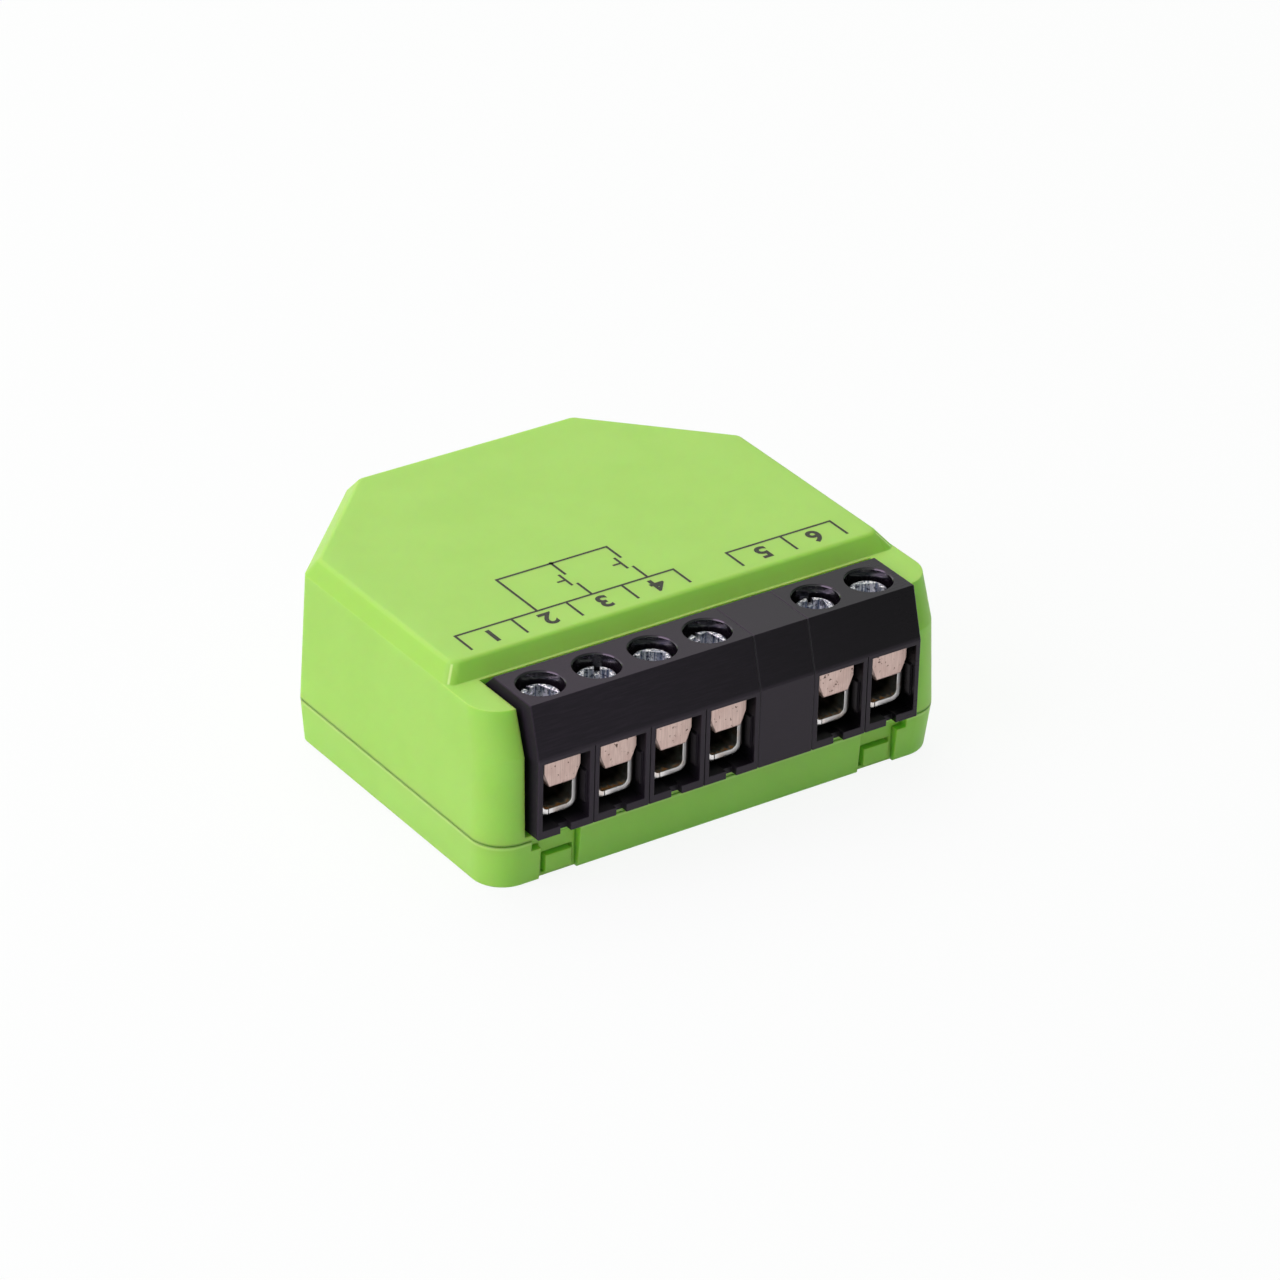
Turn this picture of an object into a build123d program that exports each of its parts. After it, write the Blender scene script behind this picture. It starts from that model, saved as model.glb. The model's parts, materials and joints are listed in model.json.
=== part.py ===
from build123d import *
import os
from math import sqrt

# Flush-mount dimmer module for a wall box, in millimetres.
# +X runs along the row of terminals, the wire openings face -Y, +Z is up.
# The origin is the middle of the overall plan, on the underside.

# Case
case_width = 42.0
case_depth = 37.6
case_height = 16.0
corner_cut = 10.4
front_corner_radius = 2.7
cut_corner_radius = 0.9
wall = 1.3
roof_thickness = 1.3
floor_thickness = 1.2
parting_height = 3.9
parting_gap = 0.1
upper_draft = 0.38
lower_draft = 0.32
bevel_run = 1.06
bevel_drop = 1.3
roof_ledge = 0.25
roof_edge_radius = 0.5
foot_edge_radius = 0.3
cheek_slope_run = 1.5
cheek_gap = 0.45
front_wall = 1.6
inner_wall = 1.2
room_corner_radius = 0.5
case_clearance = 0.1

# Terminal row
pole_count = 7
pole_width = 5.0
terminal_proud = 1.0
block_depth = 7.4
block_height = 10.95
rail_height = 0.4
slope_run = 1.24
slope_drop = 4.25
rear_chamfer = 1.1
seam_chamfer = 0.07
cell_septum = 0.84
cell_floor = 0.65
cell_back_wall = 0.6
cell_roof = 2.0
lintel_thickness = 0.52
lintel_drop = 0.3
floor_slot_width = 0.95
floor_notch_length = 0.6
floor_groove_depth = 0.15
guide_rib_setback = 0.45
guide_rib_length = 0.7
guide_rib_proud = 0.15
guide_rib_lift = 1.1
guide_rib_height = 2.8
rib_groove = 0.1
screw_setback = 3.72
screw_hole_clearance = 0.3
screw_hole_chamfer = 0.1

# Clamp screw, M2.5
head_diameter = 3.1
head_height = 1.3
head_edge = 0.2
head_depth = 0.85
thread_diameter = 2.5
tip_chamfer = 0.35
tip_clearance = 0.05
slot_width = 0.45
slot_depth = 0.5
socket_width = 1.9
socket_depth = 1.1
screw_turns = [20, -35, 50, 10, -15, 65]

# Clamp cage
cage_side_gap = 0.13
cage_front_gap = 0.1
cage_rear_gap = 0.3
cage_strip = 0.65
cage_window_height = 3.55
cage_nut = 1.2
cage_corner_radius = 1.15
cage_edge_radius = 0.3
cage_floor_gap = 0.3
cage_joint_width = 0.06
cage_joint_offset = 0.75
thread_clearance = 0.05

# Contact strip
strip_thickness = 0.5
strip_side_gap = 0.25
flap_side_gap = 0.48
flap_height = 2.8
flap_taper_height = 1.35
flap_setback = 0.6
tail_width = 0.85
tail_below_board = 0.85
wire_opening = 2.2
strip_end_gap = 0.1
bend_radius = 0.3

# Boards
board_thickness = 1.0
board_edge_gap = 0.15
board_hole_clearance = 0.15
front_board_gap = 0.2
lip_thickness = 0.6
lip_height = 0.8
lip_clearance = 0.05
post_diameter = 2.6
peg_diameter = 1.3
peg_height = 0.6
post_front_inset = 4.4
post_rear_inset = 8.8
post_tail_gap = 0.15
post_cut_gap = 4.0

# Snap hooks on the bottom cover and the pads that catch the front tongues
hook_width = 4.0
hook_thickness = 0.8
hook_height = 7.9
hook_barb = 0.35
hook_barb_height = 0.9
hook_clearance = 0.1
hook_front_gap = 0.8
hook_rear_gap = 2.1
latch_x = 14.7
latch_width = 3.5
latch_depth = 1.15
latch_shoulder = 0.75
latch_shoulder_height = 2.95
latch_gap = 0.12
tongue_thickness = 0.4
tongue_setback = 0.65
tongue_end = 0.12
pad_width = 2.3
pad_height = 1.45
pad_base = 0.5
pad_gap = 0.25

# Control button, light guide and service header in the rear wall
button_lift = 2.05
button_diameter = 2.2
button_clearance = 0.1
button_flange_diameter = 3.0
button_flange = 0.7
button_recess = 0.2
button_travel = 0.3
button_edge_radius = 0.15
plunger_diameter = 1.5
plunger_overlap = 0.4
switch_width = 4.7
switch_depth = 2.7
switch_height = 3.6
guide_lift = 1.5
guide_diameter = 1.9
guide_flange_diameter = 2.0
guide_flange = 0.5
led_width = 2.2
led_depth = 1.4
led_height = 1.3
header_height = 2.3
header_length = 4.4
header_pin_count = 6
header_pin_pitch = 1.27
header_bore = 0.6
header_recess = 0.6
header_clearance = 0.25

# Parts on the main board: each column and row of them is spread over the room it has
part_gap = 0.05
lead_diameter = 0.6
transformer_top_gap = 0.95
core_width = 10.0
core_depth = 4.4
core_yoke = 1.4
core_leg = 3.0
core_window_width = 2.3
bobbin_width = 7.0
bobbin_flange = 0.7
bobbin_tube = 0.35
bobbin_foot = 0.5
bobbin_clearance = 0.1
winding_inset = 0.3
input_capacitor_diameter = 6.3
input_capacitor_top_gap = 0.95
output_capacitor_diameter = 5.0
output_capacitor_height = 8.0
bus_capacitor_diameter = 5.0
bus_capacitor_height = 7.0
capacitor_crimp = 0.25
capacitor_crimp_height = 1.2
capacitor_score_width = 0.3
capacitor_score_depth = 0.15
varistor_diameter = 7.0
varistor_thickness = 3.2
varistor_lift = 0.9
varistor_edge = 1.0
varistor_lead_distance = 5.0
resistor_diameter = 2.6
resistor_length = 6.6
resistor_lead_distance = 8.6
resistor_end = 0.6
inductor_diameter = 5.4
inductor_height = 6.0
inductor_flange = 1.0
inductor_groove = 0.5
package_edge = 0.2
package_lead_width = 0.4
package_lead_thickness = 0.2
package_lead_length = 0.6
bridge_width = 4.7
bridge_depth = 3.8
bridge_height = 2.3
bridge_lead_pitch = 2.54
controller_width = 4.9
controller_depth = 3.9
controller_height = 1.5
controller_lead_pitch = 1.27
optocoupler_width = 2.6
optocoupler_depth = 4.4
optocoupler_height = 2.1
optocoupler_lead_pitch = 1.27
optocoupler_lead_length = 1.2
transistor_width = 3.5
transistor_depth = 4.6
transistor_height = 1.6
transistor_lead_pitch = 1.5
chip_width = 1.6
chip_depth = 0.8
chip_resistor_height = 0.45
chip_capacitor_height = 0.8
chip_resistor_count = 4
chip_capacitor_count = 3
chip_gap = 0.6
chip_cap_length = 0.3

# Radio board, which stands on the main board between the rear posts
radio_end_gap = 1.9
radio_top_gap = 0.7
radio_rear_gap = 0.3
radio_thickness = 0.8
radio_lift = 0.15
shield_width = 9.0
shield_depth = 1.9
shield_sheet = 0.2
shield_lift = 1.3
shield_top_gap = 1.5
processor_width = 5.0
processor_end_gap = 0.6
processor_thickness = 0.85
antenna_width = 4.0
antenna_depth = 1.1
antenna_height = 1.8
antenna_top_gap = 1.0
link_pin_count = 7
link_pin_pitch = 2.0
link_pin_width = 0.5
link_pin_rise = 2.6
link_pin_below_board = 0.6

# Places worked out from the sizes above
overall_depth = case_depth + terminal_proud
block_front_y = -overall_depth / 2
case_front_y = block_front_y + terminal_proud
case_rear_y = overall_depth / 2
case_mid_y = (case_front_y + case_rear_y) / 2
bevel_foot_z = case_height - bevel_drop
ceiling_z = case_height - roof_thickness
upper_base_z = parting_height + parting_gap / 2
lower_top_z = parting_height - parting_gap / 2
cut_sum = case_width / 2 + case_rear_y - corner_cut
cut_start_y = case_rear_y - corner_cut
rail_top_z = upper_base_z + rail_height
block_base = rail_top_z + case_clearance
block_top_z = block_base + block_height
block_rear_y = block_front_y + block_depth
block_top_front_y = block_front_y + slope_run
slope_foot_z = block_top_z - slope_drop
recess_rear_y = block_rear_y + case_clearance
inner_front_y = recess_rear_y + inner_wall
roof_foot_y = recess_rear_y + roof_ledge
cells = [-3, -2, -1, 0, 2, 3]
cell_xs = [cell * pole_width for cell in cells]
spacer_x = pole_width
recess_half = pole_count * pole_width / 2 + cheek_gap
cell_width = pole_width - cell_septum
screw_y = block_front_y + screw_setback
cell_floor_z = block_base + cell_floor
cell_top_z = slope_foot_z - lintel_drop
cell_roof_z = block_top_z - cell_roof
cell_rear_y = block_rear_y - cell_back_wall
guide_rib_front_y = block_front_y + guide_rib_setback
guide_rib_base_z = cell_floor_z + guide_rib_lift
guide_rib_top_z = guide_rib_base_z + guide_rib_height
cage_base_z = cell_floor_z + cage_floor_gap
cage_window_z = cage_base_z + cage_strip
cage_nut_z = cage_window_z + cage_window_height
cage_width = cell_width - 2 * cage_side_gap
cage_window_width = cage_width - 2 * cage_strip
strip_base_z = cage_window_z + wire_opening
strip_top_z = strip_base_z + strip_thickness
strip_width = cage_window_width - 2 * strip_side_gap
strip_front_y = block_front_y + flap_setback
strip_rear_y = cell_rear_y - strip_end_gap
tail_front_y = strip_rear_y - strip_thickness
flap_width = cell_width - 2 * flap_side_gap
cage_front_y = strip_front_y + strip_thickness + cage_front_gap
cage_rear_y = tail_front_y - cage_rear_gap
head_top_z = block_top_z - head_depth
head_base_z = head_top_z - head_height
tip_z = strip_top_z + tip_clearance
board_top_z = block_base
board_base_z = board_top_z - board_thickness
board_front_y = case_front_y + front_wall + front_board_gap
board_inset = wall + lip_clearance + lip_thickness + board_edge_gap
inner_rear_y = case_rear_y - wall
post_front_x = case_width / 2 - post_front_inset
post_front_y = tail_front_y - post_tail_gap - post_diameter / 2
post_rear_x = case_width / 2 - post_rear_inset
post_rear_y = cut_sum - post_rear_x - post_cut_gap * sqrt(2)
front_posts = [(-post_front_x, post_front_y), (post_front_x, post_front_y)]
rear_posts = [(-post_rear_x, post_rear_y), (post_rear_x, post_rear_y)]
hook_front_y = inner_front_y + hook_front_gap + hook_width / 2
hook_rear_y = cut_start_y - hook_rear_gap - hook_width / 2
hook_ys = [hook_front_y, hook_rear_y]
hook_outer_x = case_width / 2 - wall - lip_clearance
hook_inner_x = hook_outer_x - hook_thickness
tongue_front_y = case_front_y + tongue_setback
latch_rear_y = case_front_y + latch_depth
button_inner_y = inner_rear_y - button_clearance
plunger_rear_y = button_inner_y - button_flange
switch_rear_y = plunger_rear_y - button_travel - plunger_overlap
switch_front_y = switch_rear_y - switch_depth
button_z = board_top_z + button_lift
guide_z = board_top_z + guide_lift
header_width = header_pin_count * header_pin_pitch
header_rear_y = case_rear_y - header_recess
header_front_y = header_rear_y - header_length
radio_rear_y = header_front_y - radio_rear_gap - shield_depth
radio_front_y = radio_rear_y - radio_thickness
radio_half = post_rear_x - post_diameter / 2 - radio_end_gap
radio_base_z = board_top_z + radio_lift
radio_top_z = ceiling_z - radio_top_gap
link_pin_front_y = radio_front_y - link_pin_width


def spread(low, high, sizes):
    """Middles of pieces of the given sizes, laid in a line between two limits with equal gaps."""
    gap = (high - low - sum(sizes)) / (len(sizes) + 1)
    return [low + gap * (n + 1) + sum(sizes[:n]) + size / 2 for n, size in enumerate(sizes)]


# Columns of parts across the room, then the parts along each column from the front
bridge_span = bridge_depth + 2 * package_lead_length
transistor_span = transistor_depth + 2 * package_lead_length
optocoupler_span = optocoupler_depth + 2 * optocoupler_lead_length
input_x, transformer_x, filter_x, bus_x, optocoupler_x = spread(
    -hook_inner_x,
    hook_inner_x,
    [input_capacitor_diameter, core_width, inductor_diameter, bus_capacitor_diameter, optocoupler_width],
)
input_capacitor_ys = spread(inner_front_y, cut_start_y, [input_capacitor_diameter] * 2)
varistor_y, transformer_y, resistor_y = spread(
    inner_front_y, link_pin_front_y, [varistor_thickness, bobbin_width, resistor_diameter]
)
inductor_y, rectifier_y, output_capacitor_y = spread(
    inner_front_y, link_pin_front_y, [inductor_diameter, bridge_span, output_capacitor_diameter]
)
bus_bridge_y, transistor_y, bus_capacitor_y = spread(
    inner_front_y,
    post_rear_y - post_diameter / 2,
    [bridge_span, transistor_span, bus_capacitor_diameter],
)
optocoupler_ys = spread(inner_front_y, cut_start_y, [optocoupler_span] * 2)

# Under the board, and along the rear wall
chip_resistor_x, controller_x, chip_capacitor_x = spread(
    -post_rear_x, post_rear_x, [chip_width, controller_width, chip_width]
)
rear_half = cut_sum - wall * sqrt(2) - inner_rear_y
header_x, guide_x, button_x = spread(-rear_half, rear_half, [header_width, led_width, switch_width])
shield_x, antenna_x = spread(-radio_half, radio_half, [shield_width, antenna_width])


def case_section(height, inset, front_y=None, radius=front_corner_radius):
    """Plan of the case at a height, moved in by an inset, with its own front line if one is given."""
    half = case_width / 2 - inset
    front = case_front_y + inset if front_y is None else front_y
    rear = case_rear_y - inset
    cut_line = cut_sum - inset * sqrt(2)
    right = [(half, front), (half, cut_line - half), (cut_line - rear, rear)]
    left = [(-x, y) for x, y in reversed(right)]
    with BuildSketch(Plane.XY.offset(height)) as plan:
        Polygon(*right, *left, align=None)
        corners = plan.vertices().sort_by(Axis.Y)
        fillet(corners[:2], radius)
        fillet(plan.vertices().filter_by(lambda v: v.Y > front + 2 * radius), cut_corner_radius)
    return plan.sketch


def save(piece, name):
    """Name a finished piece and write its file."""
    piece.label = name
    export_step(piece, f"parts/{name}.step")


def box_between(low, high, mode=Mode.ADD):
    """A block between two corners, in the part being built."""
    size = [b - a for a, b in zip(low, high)]
    with Locations(tuple((a + b) / 2 for a, b in zip(low, high))):
        Box(*size, mode=mode)


os.makedirs("parts", exist_ok=True)

# Top housing: drafted walls, sloping cheek fronts and a raised roof with a bevel all round
with BuildPart() as top_housing:
    slope_share = (slope_foot_z - upper_base_z) / (bevel_foot_z - upper_base_z)
    base = case_section(upper_base_z, 0)
    slope_foot = case_section(slope_foot_z, upper_draft * slope_share)
    shelf = case_section(bevel_foot_z, upper_draft, case_front_y + cheek_slope_run)
    bevel_foot = case_section(bevel_foot_z, upper_draft, roof_foot_y, cut_corner_radius)
    roof = case_section(case_height, upper_draft + bevel_run, roof_foot_y + bevel_run, cut_corner_radius)
    loft([base, slope_foot], ruled=True)
    loft([slope_foot, shelf], ruled=True)
    loft([bevel_foot, roof], ruled=True)
    fillet(top_housing.edges().group_by(Axis.Z)[-1], roof_edge_radius)

    # Inside of the shell, and the recess for the row of terminals
    room = case_section(upper_base_z, wall, inner_front_y, room_corner_radius)
    extrude(room, amount=ceiling_z - upper_base_z, mode=Mode.SUBTRACT)
    box_between(
        (-recess_half, block_front_y, rail_top_z),
        (recess_half, recess_rear_y, case_height),
        Mode.SUBTRACT,
    )
    box_between(
        (-recess_half, case_front_y + front_wall, upper_base_z),
        (recess_half, inner_front_y, board_top_z + case_clearance),
        Mode.SUBTRACT,
    )

    # Tongues that hang from the rail under the terminals and catch the pads of the bottom cover
    shoulder_z = latch_shoulder_height + latch_gap
    for side in (-1, 1):
        outer = side * (latch_x + latch_width / 2 - latch_gap)
        inner = side * (latch_x - latch_width / 2 + latch_gap)
        shoulder = outer + side * latch_shoulder
        with BuildSketch(Plane.XZ.offset(-tongue_front_y)):
            Polygon(
                (inner, tongue_end),
                (outer, tongue_end),
                (outer, shoulder_z),
                (shoulder, shoulder_z),
                (shoulder, rail_top_z),
                (inner, rail_top_z),
                align=None,
            )
            with Locations((side * latch_x, pad_base - latch_gap)):
                Rectangle(
                    pad_width + 2 * pad_gap,
                    pad_height + latch_gap + pad_gap,
                    align=(Align.CENTER, Align.MIN),
                    mode=Mode.SUBTRACT,
                )
        extrude(amount=-tongue_thickness)

    # Catches for the snap hooks, in the inner faces of the side walls
    for side in (-1, 1):
        for y in hook_ys:
            with Locations((side * (case_width / 2 - wall), y, hook_height - hook_barb_height / 2)):
                Box(
                    2 * (hook_barb + hook_clearance),
                    hook_width + 2 * hook_clearance,
                    hook_barb_height + 2 * hook_clearance,
                    mode=Mode.SUBTRACT,
                )

    # Posts that hold the board down
    for x, y in rear_posts:
        with Locations((x, y, (ceiling_z + board_top_z) / 2)):
            Cylinder(post_diameter / 2, ceiling_z - board_top_z)

    # Openings in the rear wall
    with BuildSketch(Plane.XZ.offset(-case_rear_y)):
        with Locations((button_x, button_z)):
            Circle(button_diameter / 2 + button_clearance)
        with Locations((guide_x, guide_z)):
            Circle(guide_diameter / 2)
        with Locations((header_x, board_top_z + header_height / 2)):
            Rectangle(header_width + 2 * header_clearance, header_height + 2 * header_clearance)
    extrude(amount=2 * wall, both=True, mode=Mode.SUBTRACT)
save(top_housing.part, "top_housing")

# Bottom cover: a tray with a lip that plugs into the housing, posts for the board and snap hooks
with BuildPart() as bottom_cover:
    foot = case_section(0, lower_draft)
    rim = case_section(lower_top_z, 0)
    loft([foot, rim], ruled=True)
    fillet(bottom_cover.edges().group_by(Axis.Z)[0], foot_edge_radius)
    tray_front_y = case_front_y + front_wall
    tray = case_section(floor_thickness, wall, tray_front_y, room_corner_radius)
    extrude(tray, amount=lower_top_z, mode=Mode.SUBTRACT)

    # Lip, left open along the terminals
    lip_inset = wall + lip_clearance
    lip_outer = case_section(floor_thickness, lip_inset, tray_front_y, room_corner_radius)
    lip_inner = case_section(floor_thickness, lip_inset + lip_thickness, tray_front_y, room_corner_radius)
    extrude(lip_outer - lip_inner, amount=lower_top_z + lip_height - floor_thickness)
    box_between(
        (-case_width / 2, block_front_y, lower_top_z),
        (case_width / 2, inner_front_y + room_corner_radius, case_height),
        Mode.SUBTRACT,
    )
    for x, half in (
        (header_x, header_width / 2 + header_clearance),
        (guide_x, led_width / 2 + header_clearance),
    ):
        notch_low = (x - half, switch_front_y, lower_top_z)
        notch_high = (x + half, case_rear_y, case_height)
        box_between(notch_low, notch_high, Mode.SUBTRACT)

    # Posts under the board, each with a locating peg
    for x, y in front_posts + rear_posts:
        with Locations((x, y, (board_base_z + floor_thickness) / 2)):
            Cylinder(post_diameter / 2, board_base_z - floor_thickness)
        with Locations((x, y, board_base_z + peg_height / 2)):
            Cylinder(peg_diameter / 2, peg_height)

    # Snap hooks at the sides
    for side in (-1, 1):
        for y in hook_ys:
            barb_base = hook_height - hook_barb_height
            with BuildSketch(Plane.XZ.offset(-y)):
                Polygon(
                    (side * hook_inner_x, floor_thickness),
                    (side * hook_outer_x, floor_thickness),
                    (side * hook_outer_x, barb_base),
                    (side * (hook_outer_x + hook_barb), barb_base),
                    (side * hook_outer_x, hook_height),
                    (side * hook_inner_x, hook_height),
                    align=None,
                )
            extrude(amount=hook_width / 2, both=True)

    # Latch pockets under the terminals, each with the pad that a tongue catches
    for side in (-1, 1):
        inner = side * (latch_x - latch_width / 2)
        outer = side * (latch_x + latch_width / 2)
        shoulder = outer + side * (latch_shoulder + latch_gap)
        pocket_low = (min(inner, outer), block_front_y, 0)
        pocket_high = (max(inner, outer), latch_rear_y, lower_top_z)
        box_between(pocket_low, pocket_high, Mode.SUBTRACT)
        shoulder_low = (min(inner, shoulder), block_front_y, latch_shoulder_height)
        shoulder_high = (max(inner, shoulder), latch_rear_y, lower_top_z)
        box_between(shoulder_low, shoulder_high, Mode.SUBTRACT)
        pad_x = side * latch_x
        box_between(
            (pad_x - pad_width / 2, case_front_y + lower_draft, pad_base),
            (pad_x + pad_width / 2, latch_rear_y, pad_base + pad_height),
        )
save(bottom_cover.part, "bottom_cover")


# Terminal row: two housings with cells and a plain spacer between them
def terminal_profile():
    """Side view of the terminal row, closed."""
    Polygon(
        (block_front_y, block_base),
        (block_front_y, slope_foot_z),
        (block_top_front_y, block_top_z),
        (block_rear_y - rear_chamfer, block_top_z),
        (block_rear_y, block_top_z - rear_chamfer),
        (block_rear_y, block_base),
        align=None,
    )


def cell_profile():
    """Side view of one cell: open at the front below the slope, closed above it."""
    slope = slope_run / slope_drop
    Polygon(
        (block_front_y, cell_floor_z),
        (block_front_y, cell_top_z),
        (block_front_y + lintel_thickness, cell_top_z),
        (block_front_y + lintel_thickness, slope_foot_z),
        (block_front_y + lintel_thickness + slope * (cell_roof_z - slope_foot_z), cell_roof_z),
        (cell_rear_y, cell_roof_z),
        (cell_rear_y, cell_floor_z),
        align=None,
    )


def terminal_housing(poles):
    """One moulding that holds the given poles side by side."""
    with BuildPart() as housing:
        with BuildSketch(Plane.YZ.offset(min(poles) - pole_width / 2)):
            terminal_profile()
        extrude(amount=pole_width * len(poles))
        for end in (0, -1):
            chamfer(housing.faces().sort_by(Axis.X)[end].edges(), seam_chamfer)
        for x in poles:
            with BuildSketch(Plane.YZ.offset(x - cell_width / 2)):
                cell_profile()
            extrude(amount=cell_width, mode=Mode.SUBTRACT)
            floor_left = x - floor_slot_width / 2
            floor_right = x + floor_slot_width / 2
            for front, rear, base in (
                (block_front_y, block_front_y + floor_notch_length, block_base),
                (block_front_y, cell_rear_y, cell_floor_z - floor_groove_depth),
                (tail_front_y - strip_end_gap, cell_rear_y, block_base),
            ):
                box_between((floor_left, front, base), (floor_right, rear, cell_floor_z), Mode.SUBTRACT)
            for side in (-1, 1):
                side_wall = x + side * cell_width / 2
                rib_face = side_wall - side * guide_rib_proud
                with BuildSketch(Plane.XZ.offset(-guide_rib_front_y)):
                    Polygon(
                        (side_wall, guide_rib_base_z),
                        (rib_face, guide_rib_base_z),
                        (rib_face, guide_rib_top_z - guide_rib_proud),
                        (side_wall, guide_rib_top_z),
                        align=None,
                    )
                extrude(amount=-guide_rib_length)
            screw_hole_radius = head_diameter / 2 + screw_hole_clearance
            with Locations((x, screw_y, block_top_z)):
                CounterSinkHole(
                    screw_hole_radius,
                    screw_hole_radius + screw_hole_chamfer,
                    depth=cell_roof + screw_hole_chamfer,
                )
        for x in sorted(poles)[1:]:
            box_between(
                (x - pole_width / 2 - rib_groove / 2, block_front_y, block_base),
                (x - pole_width / 2 + rib_groove / 2, block_front_y + rib_groove, slope_foot_z),
                Mode.SUBTRACT,
            )
    return housing.part


save(terminal_housing(cell_xs[:4]), "terminal_housing_4way")
save(terminal_housing(cell_xs[4:]), "terminal_housing_2way")

with BuildPart() as terminal_spacer:
    with BuildSketch(Plane.YZ.offset(spacer_x - pole_width / 2)):
        terminal_profile()
    extrude(amount=pole_width)
    for end in (0, -1):
        chamfer(terminal_spacer.faces().sort_by(Axis.X)[end].edges(), seam_chamfer)
    box_between(
        (spacer_x - cell_width / 2, block_front_y + slope_run + lintel_thickness, block_base),
        (spacer_x + cell_width / 2, cell_rear_y, cell_roof_z),
        Mode.SUBTRACT,
    )
save(terminal_spacer.part, "terminal_spacer")


# Clamp screws, cages and contact strips, one of each in every cell
hanging = (Align.CENTER, Align.CENTER, Align.MAX)


def clamp_screw(x, turn):
    """A cheese head with a square socket and a slot across it, on a plain threaded-size shank."""
    with BuildPart() as screw:
        with Locations((x, screw_y, (head_base_z + head_top_z) / 2)):
            Cylinder(head_diameter / 2, head_height)
        fillet(screw.edges().group_by(Axis.Z)[-1], head_edge)
        with Locations((x, screw_y, (tip_z + head_base_z) / 2)):
            Cylinder(thread_diameter / 2, head_base_z - tip_z)
        chamfer(screw.edges().group_by(Axis.Z)[0], tip_chamfer)
        with Locations(Location((x, screw_y, head_top_z), (0, 0, turn))):
            Box(socket_width, socket_width, socket_depth, align=hanging, mode=Mode.SUBTRACT)
            Box(slot_width, head_diameter, slot_depth, align=hanging, mode=Mode.SUBTRACT)
    return screw.part


def clamp_cage(x):
    """A folded strip round the wire's window, with the threaded block at its top."""
    cage_top_z = cage_nut_z + cage_nut
    with BuildPart() as cage:
        with BuildSketch(Plane.XZ.offset(-cage_front_y)) as front:
            with Locations((x, (cage_base_z + cage_top_z) / 2)):
                Rectangle(cage_width, cage_top_z - cage_base_z)
            fillet(front.vertices().group_by(Axis.Y)[0], cage_corner_radius)
            fillet(front.vertices().group_by(Axis.Y)[-1], cage_strip / 2)
        extrude(amount=cage_front_y - cage_rear_y)
        fillet(cage.edges().group_by(Axis.Y)[0], cage_edge_radius)
        with BuildSketch(Plane.XZ.offset(-cage_front_y)) as window:
            with Locations((x, cage_window_z + cage_window_height / 2)):
                Rectangle(cage_window_width, cage_window_height)
            fillet(window.vertices().group_by(Axis.Y)[0], cage_corner_radius - cage_strip)
        extrude(amount=cage_front_y - cage_rear_y, mode=Mode.SUBTRACT)
        with Locations((x, screw_y, cage_top_z)):
            Hole(thread_diameter / 2 + thread_clearance, depth=cage_nut)
        joint_x = x - cage_joint_offset
        box_between(
            (joint_x - cage_joint_width / 2, cage_front_y, cage_base_z),
            (joint_x + cage_joint_width / 2, cage_rear_y, cage_window_z),
            Mode.SUBTRACT,
        )
    return cage.part


def contact_strip(x):
    """A bent strip: the flap in front, the bar through the cage and the tail through the board."""
    with BuildPart() as strip:
        with BuildSketch(Plane.XZ.offset(-strip_front_y)):
            Polygon(
                (x - strip_width / 2, strip_base_z),
                (x + strip_width / 2, strip_base_z),
                (x + flap_width / 2, strip_base_z + flap_taper_height),
                (x + flap_width / 2, strip_base_z + flap_height),
                (x - flap_width / 2, strip_base_z + flap_height),
                (x - flap_width / 2, strip_base_z + flap_taper_height),
                align=None,
            )
        extrude(amount=-strip_thickness)
        box_between(
            (x - strip_width / 2, strip_front_y, strip_base_z),
            (x + strip_width / 2, strip_rear_y, strip_top_z),
        )
        box_between(
            (x - tail_width / 2, tail_front_y, board_base_z - tail_below_board),
            (x + tail_width / 2, strip_rear_y, strip_top_z),
        )
        corner = Vector(x, strip_front_y, strip_base_z)
        bend = strip.edges().filter_by(Axis.X).sort_by(lambda edge: (edge.center() - corner).length)[0]
        fillet(bend, bend_radius)
    return strip.part


for number, (x, turn) in enumerate(zip(cell_xs, screw_turns), start=1):
    save(clamp_screw(x, turn), f"clamp_screw_{number}")
    save(clamp_cage(x), f"clamp_cage_{number}")
    save(contact_strip(x), f"contact_strip_{number}")


# Main board, with slots for the tails and holes for the pegs and pins
pin_xs = [(n - (link_pin_count - 1) / 2) * link_pin_pitch for n in range(link_pin_count)]

with BuildPart() as main_board:
    rear_area = case_section(board_base_z, board_inset, inner_front_y + board_edge_gap, room_corner_radius)
    extrude(rear_area, amount=board_thickness)
    front_half = recess_half - board_edge_gap
    box_between(
        (-front_half, board_front_y, board_base_z),
        (front_half, inner_front_y + board_inset, board_top_z),
    )
    for side in (-1, 1):
        for y in hook_ys:
            with Locations((side * (hook_inner_x + hook_outer_x) / 2, y, board_top_z)):
                Box(
                    hook_thickness + 2 * board_edge_gap,
                    hook_width + 2 * board_edge_gap,
                    2 * board_thickness,
                    align=(Align.CENTER, Align.CENTER, Align.MAX),
                    mode=Mode.SUBTRACT,
                )
    with BuildSketch(Plane.XY.offset(board_top_z)):
        with Locations(*[(x, (tail_front_y + strip_rear_y) / 2) for x in cell_xs]):
            Rectangle(tail_width + 2 * board_hole_clearance, strip_thickness + 2 * board_hole_clearance)
        with Locations(*front_posts, *rear_posts):
            Circle(peg_diameter / 2 + board_hole_clearance / 2)
        with Locations(*[(x, link_pin_front_y + link_pin_width / 2) for x in pin_xs]):
            Rectangle(link_pin_width + board_hole_clearance, link_pin_width + board_hole_clearance)
    extrude(amount=-board_thickness, mode=Mode.SUBTRACT)
save(main_board.part, "main_board")

standing = (Align.CENTER, Align.CENTER, Align.MIN)

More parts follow.
